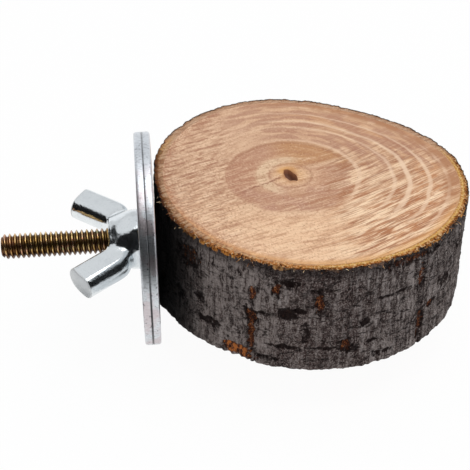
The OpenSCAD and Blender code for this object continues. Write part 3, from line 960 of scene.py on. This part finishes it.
def bright_zinc():
    f = Finish("bright_zinc", (214, 217, 220), 0.22, 1.0)
    out = (f.y * f.y + f.z * f.z).root()
    rim = out.rise(WASHER_D / 2 - 0.75, WASHER_D / 2 - 0.3)
    sheared = f.specks(0.9, 0.22, 0.22, 3.0, 0.6)
    nicks = f.cloud(f.x / 0.8 + 9, f.y / 0.9, f.z / 0.9, 2.0)
    spots = f.specks(1.0, 1.8, 1.8, 3.0)
    haze = f.specks(5, 5, 5, 3.0)
    tone = Paint(f, (222, 226, 230))
    tone.coat(rim * sheared.rise(0.52, 0.66) * 0.5, (120, 120, 126))
    tone.coat(rim * spots.rise(0.58, 0.68) * 0.25, (128, 126, 132))
    # Painted reflection: a pinkish tint is painted over the front of the rim, the colour of the
    # reflection there
    tinged = rim * f.y.rise(-4, -12) * haze.rise(0.42, 0.62)
    tone.coat(tinged * 0.5, (206, 176, 176))
    tone.coat(rim * nicks.rise(0.66, 0.7) * 0.7, (34, 32, 38))
    tone.coat(haze.rise(0.45, 0.7) * 0.25, (190, 194, 198))
    # Painted shade: a dark seam is painted where the clamping faces meet, heavier towards the bottom
    seam = abs(f.x).rise(0.32, 0.16) * rim * (0.4 + f.z.rise(16, -4) * 0.5)
    tone.coat(seam, (36, 34, 38))
    roughness = 0.14 + haze * 0.1 + rim * (0.1 + sheared * 0.18)
    return f.vary(tone, roughness, sheared * rim * 0.8 + haze * 0.4, 0.05)


def polished_zinc():
    f = Finish("polished_zinc", (226, 230, 232), 0.14, 1.0)
    haze = f.specks(4, 4, 4, 3.0)
    brushed = f.specks(1.1, 1.1, 0.8, 3.0, 0.65)
    pits = f.specks(0.35, 0.35, 0.35, 3.0)
    tone = Paint(f, (232, 236, 237))
    tone.coat(haze.rise(0.4, 0.7) * 0.3, (208, 214, 218))
    tone.coat(pits.rise(0.58, 0.68) * 0.35, (170, 176, 180))
    # The sheared ends of the wings are duller and rougher
    lean, turn = radians(WING_LEAN), radians(WING_TURN)
    side = abs(f.y * cos(turn) + f.z * sin(turn))
    far = (-f.x) * cos(lean) + side * sin(lean)
    tip = (WASHER_T + WING_TIP_H) * cos(lean) + WING_TIP_R * sin(lean)
    end = far.rise(tip - 0.75, tip - 0.45)
    tone.coat(end * (0.6 + pits * 0.5), (206, 208, 208))
    f.feed("Metallic", 1 - end * 0.75)
    roughness = 0.09 + haze * 0.08 + pits * 0.06 + end * 0.22
    uneven = f.specks(2.6, 2.6, 2.6, 2.0)
    lumpy = f.cloud(f.x / 3.2 + 4, f.y / 3.2, f.z / 3.2, 0.0) * side.rise(7.5, 4)
    relief = uneven * 0.7 + lumpy * 3.5 + brushed * 0.22 + pits * 0.08 * (1 + end * 4)
    return f.vary(tone, roughness, relief, 0.16)


# The pieces

bolt_finish, washer_finish, nut_finish = yellow_zinc(), bright_zinc(), polished_zinc()


def make_bolt():
    rule = Rule(screw_thread, bolt_finish)
    machine_l, shank_r = MACHINE_END_X - STUD_END_X, SHANK_D / 2
    machine = rule.make(
        "machine_thread", rows=ceil(machine_l / THREAD_PITCH) + 4, start=STUD_END_X,
        length=machine_l, pitch=THREAD_PITCH, crest_r=THREAD_D / 2,
        depth=THREAD_DEPTH_SHARE * THREAD_PITCH, crest_flat=0.13, root_flat=0.2,
        first_r=THREAD_D / 2 - STUD_CHAMFER, first_l=STUD_CHAMFER, last_r=shank_r - 0.3,
        last_l=0.4, steps=12, sides=72)
    screw = rule.make(
        "wood_thread", rows=ceil(SCREW_L / SCREW_PITCH) + 4, start=SHANK_END_X, length=SCREW_L,
        pitch=SCREW_PITCH, crest_r=SCREW_D / 2, depth=SCREW_DEPTH, crest_flat=0.1,
        root_flat=0.45, first_r=SCREW_D / 2 - 0.5, first_l=1.0, last_r=0.05, last_l=POINT_L,
        steps=12, sides=48)
    profile = [(0, MACHINE_END_X - 0.2), (shank_r - 0.1, MACHINE_END_X - 0.2),
               (shank_r, MACHINE_END_X), (shank_r, SHANK_END_X - 0.1),
               (shank_r - 0.25, SHANK_END_X + 0.15), (0, SHANK_END_X + 0.15)]
    shank = lathe("shank", profile, 72, bolt_finish)
    return tidy(joined("threaded_bolt", [machine, screw, shank], bolt_finish), 45)


def make_washer(name, flip):
    r, hole = WASHER_D / 2, WASHER_HOLE_D / 2
    edge, soft = WASHER_EDGE, WASHER_ROUND
    profile = [(hole, edge)] + arc(edge, hole + edge, edge, 270, 180, 4)[1:]
    profile += [(hole + 1.5, 0), (r - 2.5, 0)]
    profile += arc(edge, r - edge, edge, 180, 90, 5)
    profile += arc(WASHER_T - soft, r - soft, soft, 90, 0, 9)
    profile += [(r - 2.8, WASHER_T), (hole + 1.5, WASHER_T)]
    profile += arc(WASHER_T - edge, hole + edge, edge, 0, -90, 4)
    profile = [(out, max(x, FACE_GAP)) for out, x in profile]
    if flip:
        profile = [(out, -x) for out, x in profile]
    return lathe(name, profile, 240, washer_finish)


def make_nut():
    made = Rule(forged_wing_nut, nut_finish).make("forged_wing_nut", **NUT_SIZES)
    # Wings along Y and thickness along Z, then the hub's axis along -X
    stand = Matrix(((0, 0, -1, -WASHER_T), (1, 0, 0, 0), (0, 1, 0, 0), (0, 0, 0, 1)))
    turn = Matrix.Rotation(radians(WING_TURN), 4, "X")
    made.data.transform(Matrix.Diagonal((MM, MM, MM, 1)) @ turn @ stand)
    made.data.shade_smooth()
    return tidy(made, 50)


def make_fibres(finish):
    rule = Rule(torn_fibres, finish)
    tufts = [rule.make("fibres", count=count, first=radians(first), sweep=radians(sweep),
                       length=length, thickness=0.12, spread=1.8)
             for count, first, sweep, length in FIBRE_TUFTS]
    return tidy(joined("torn_fibres", tufts, finish), 60)


wood = tidy(turned("log_wood", wood_row, WOOD_TURNS, ("age", "wall"), sawn_wood(), False), 40)
bark = tidy(turned("log_bark", bark_row, BARK_TURNS, ("across", "bare", "stain", "skin"),
                   rough_bark()), 70)
bolt = make_bolt()
inner, outer = make_washer("washer_inside", False), make_washer("washer_outside", True)
nut = make_nut()
fibres = make_fibres(torn_fibre())

for piece, node, body, slot in (
        (wood, "wood_slice", "perch", "sawn_wood"), (bark, "bark", "perch", "bark"),
        (fibres, "bark", "perch", "bark"), (bolt, "hanger_bolt", "perch", "yellow_zinc"),
        (inner, "inner_washer", "inner_washer", "bright_zinc"),
        (outer, "outer_washer", "outer_washer", "bright_zinc"),
        (nut, "wing_nut", "wing_nut", "polished_zinc")):
    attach(piece, body)
    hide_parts(node)


# Studio

def looked_at(graph):
    """1 where the camera, gloss or glass looks at a surface, and 0 where it only lights."""
    path = graph.node("ShaderNodeLightPath").outputs
    seen = Amount(graph, path["Is Camera Ray"]).most(Amount(graph, path["Is Glossy Ray"]))
    return seen.most(Amount(graph, path["Is Transmission Ray"]))


def flat_sheet(name, wide, tall, finish):
    corners = [(x * wide / 2, y * tall / 2, 0) for x, y in ((-1, -1), (1, -1), (1, 1), (-1, 1))]
    made = mesh_object(name, corners, [(0, 1, 2, 3)], finish)
    return made


def make_floor():
    """A white floor that is plain white where the camera, gloss or glass looks at it."""
    paper = Finish("white_paper", (248, 248, 248), 0.9)
    glow = paper.node("ShaderNodeEmission", {"Color": (1, 1, 1, 1), "Strength": 1.0})
    shown = paper.node("ShaderNodeMixShader", {
        0: looked_at(paper) * 0.95, 1: paper.shader, 2: glow})
    output = paper.tree.nodes["Material Output"]
    paper.tree.links.new(shown.outputs[0], output.inputs["Surface"])
    made = flat_sheet("floor", FLOOR_SIZE, FLOOR_SIZE, paper)
    made.data.transform(Matrix.Translation((0, 0, FLOOR_Z * MM)))


def aimed(place, aim):
    """The turn of a lamp or card at a place that faces its aim."""
    return (Vector(aim) - Vector(place)).to_track_quat("-Z", "Y")


def softbox(name, place, aim, size, power):
    lamp = bpy.data.lights.new(name, "AREA")
    lamp.size, lamp.energy = size, power
    made = in_scene(name, lamp)
    made.location = place
    made.rotation_euler = aimed(place, aim).to_euler()


def make_world():
    """An even white room that is a little brighter overhead."""
    world = bpy.data.worlds.new("studio")
    bpy.context.scene.world = world
    world.use_nodes = True
    room = Graph(world.node_tree)
    height = room.parts(room.node("ShaderNodeTexCoord").outputs["Generated"])[2]
    level = WORLD_LOW + height.rise(0, 0.9) * (WORLD_HIGH - WORLD_LOW)
    # Where it is looked at, the wall behind the perch is as white as the floor
    level = level + (1 - level) * height.rise(0.45, 0.25) * looked_at(room)
    shade = world.node_tree.nodes["Background"]
    shade.inputs["Color"].default_value = tint(250, 252, 255)
    world.node_tree.links.new(level.socket, shade.inputs["Strength"])


def dark_card(name, place, aim, wide, tall):
    """A black card that only gloss sees, so that the metal has something dark to show."""
    made = flat_sheet(name, wide, tall, Finish("black_cloth", (14, 14, 15), 1.0, specular=0.0))
    turn = aimed(place, aim).to_matrix().to_4x4()
    made.data.transform(Matrix.Translation(Vector(place) * MM) @ turn)
    made.visible_camera = made.visible_diffuse = made.visible_shadow = False
    made.visible_transmission = False


make_floor()
make_world()
softbox("overhead", (0.16, -0.02, 0.62), (0.03, 0, 0), 0.40, 1.3)
dark_card("card_front", (-15, -150, 172), (-15, 0, 172), 420, 396)
dark_card("card_left", (-112, -40, 37), (0, -40, 37), 220, 124)
dark_card("card_under", (-33, -12, -26), (-33, -12, 0), 18, 28)

# Camera

# Focal length in pixels of a frame 470 wide, and how the camera stood over the perch
FOCAL_PX, FRAME_PX, SENSOR_W = 1116.11, 470, 36.0
CAMERA_AT = (0.12, -227.59, 165.55)
CAMERA_DOWN, CAMERA_TURN, CAMERA_ROLL = 36.0, 5.52, -0.08


def make_camera():
    lens = bpy.data.cameras.new("camera")
    lens.sensor_width = SENSOR_W
    lens.lens = FOCAL_PX / FRAME_PX * SENSOR_W
    lens.clip_start = 0.01
    made = in_scene("camera", lens)
    down, turn, roll = (radians(a) for a in (CAMERA_DOWN, CAMERA_TURN, CAMERA_ROLL))
    ahead = Vector((sin(turn) * cos(down), cos(turn) * cos(down), -sin(down)))
    right = Vector((cos(turn), -sin(turn), 0))
    above = right.cross(ahead)
    right, above = (right * cos(roll) + above * sin(roll), above * cos(roll) - right * sin(roll))
    turned_to = Matrix((right, above, -ahead)).transposed().to_4x4()
    made.matrix_world = Matrix.Translation(Vector(CAMERA_AT) * MM) @ turned_to
    bpy.context.scene.camera = made


make_camera()
bpy.context.scene.view_settings.view_transform = "Standard"


def plain(box):
    return [[float(c) for c in corner] for corner in box]
